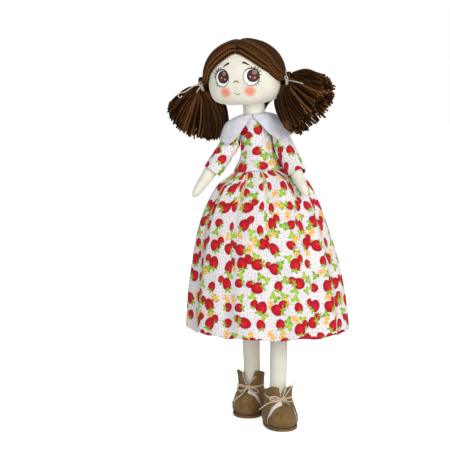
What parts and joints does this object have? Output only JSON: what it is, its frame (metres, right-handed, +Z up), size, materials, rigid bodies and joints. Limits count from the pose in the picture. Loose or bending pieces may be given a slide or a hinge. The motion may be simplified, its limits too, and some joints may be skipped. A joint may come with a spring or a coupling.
{
  "type": "rag doll",
  "caption": "Stuffed cloth doll with a turning head, yarn pigtails, jointed arms and legs, printed dress, felt collar and laced felt booties.",
  "frame": {"origin": "middle of the bounding box's bottom, on the floor under the soles", "axes": "+Z up; the doll faces -Y and its own left side is +X"},
  "size_m": [0.2176, 0.1544, 0.4491],
  "materials": {
    "cream_cloth": "plain woven cotton, stuffed",
    "brown_yarn": "matte plied yarn",
    "printed_cotton": "white cotton with a berry print",
    "white_felt": "matte felt",
    "khaki_felt": "matte felt",
    "twine": "waxed cotton twine",
    "wood": "plain turned dowel",
    "button_plastic": "satin"
  },
  "bodies": {
    "torso": {"torso": "cream_cloth", "neck_dowel": "wood", "shoulder_thread": "white_felt", "bodice": "printed_cotton", "dress_button": "button_plastic", "skirt": "printed_cotton", "collar_left": "white_felt", "collar_right": "white_felt"},
    "head": {"head": "cream_cloth", "hair_left": "brown_yarn", "hair_right": "brown_yarn", "hair_parting": "twine", "hair_tie_left": "twine", "hair_tie_right": "twine"},
    "pigtail_left": {"pigtail_left": "brown_yarn"},
    "pigtail_right": {"pigtail_right": "brown_yarn"},
    "arm_left": {"arm_left": "cream_cloth", "arm_button_left": "button_plastic", "sleeve_left": "printed_cotton"},
    "arm_right": {"arm_right": "cream_cloth", "arm_button_right": "button_plastic", "sleeve_right": "printed_cotton"},
    "lap": {"hip_seam": "cream_cloth"},
    "leg_left": {"leg_left": "cream_cloth", "shoe_sole_left": "khaki_felt", "shoe_vamp_left": "khaki_felt", "shoe_quarter_left": "khaki_felt", "shoe_lace_left": "twine"},
    "leg_right": {"leg_right": "cream_cloth", "shoe_sole_right": "khaki_felt", "shoe_vamp_right": "khaki_felt", "shoe_quarter_right": "khaki_felt", "shoe_lace_right": "twine"}
  },
  "joints": [
    {"name": "head_turn", "type": "hinge", "parent": "torso", "child": "head", "pos_m": [-0.00577, 0, 0.37387], "axis": [-0.0941, 0, 0.9956], "range_deg": [-15, 20], "deforming": ["pigtail_left", "pigtail_right", "collar_left", "collar_right"]},
    {"name": "pigtail_left_swing", "type": "hinge", "parent": "head", "child": "pigtail_left", "pos_m": [0.04372, -0.0135, 0.40156], "axis": [0.1041, 0.9945, 0.0098], "range_deg": [-35, 25], "deforming": ["pigtail_left"]},
    {"name": "pigtail_right_swing", "type": "hinge", "parent": "head", "child": "pigtail_right", "pos_m": [-0.07299, -0.00121, 0.39403], "axis": [0.1041, 0.9945, 0.0098], "range_deg": [-5, 55], "deforming": ["pigtail_right"]},
    {"name": "arm_left_swing", "type": "hinge", "parent": "torso", "child": "arm_left", "pos_m": [0.02216, 0, 0.34184], "axis": [-0.9956, 0, -0.0941], "range_deg": [-66, 74], "deforming": ["collar_left", "skirt", "pigtail_left"]},
    {"name": "arm_right_swing", "type": "hinge", "parent": "torso", "child": "arm_right", "pos_m": [-0.02722, 0, 0.33717], "axis": [-0.9956, 0, -0.0941], "range_deg": [-53, 87], "deforming": ["collar_right", "skirt", "pigtail_right"]},
    {"name": "sit", "type": "hinge", "parent": "torso", "child": "lap", "pos_m": [0.00877, 0, 0.22005], "axis": [-1, 0, 0], "range_deg": [0, 90], "deforming": ["skirt"]},
    {"name": "leg_left_swing", "type": "hinge", "parent": "lap", "child": "leg_left", "pos_m": [0.02727, 0, 0.22005], "axis": [-1, 0, 0], "range_deg": [-21, 14], "deforming": ["skirt"]},
    {"name": "leg_right_swing", "type": "hinge", "parent": "lap", "child": "leg_right", "pos_m": [-0.00973, 0, 0.22005], "axis": [-1, 0, 0], "range_deg": [-8, 27], "deforming": ["skirt"]}
  ]
}
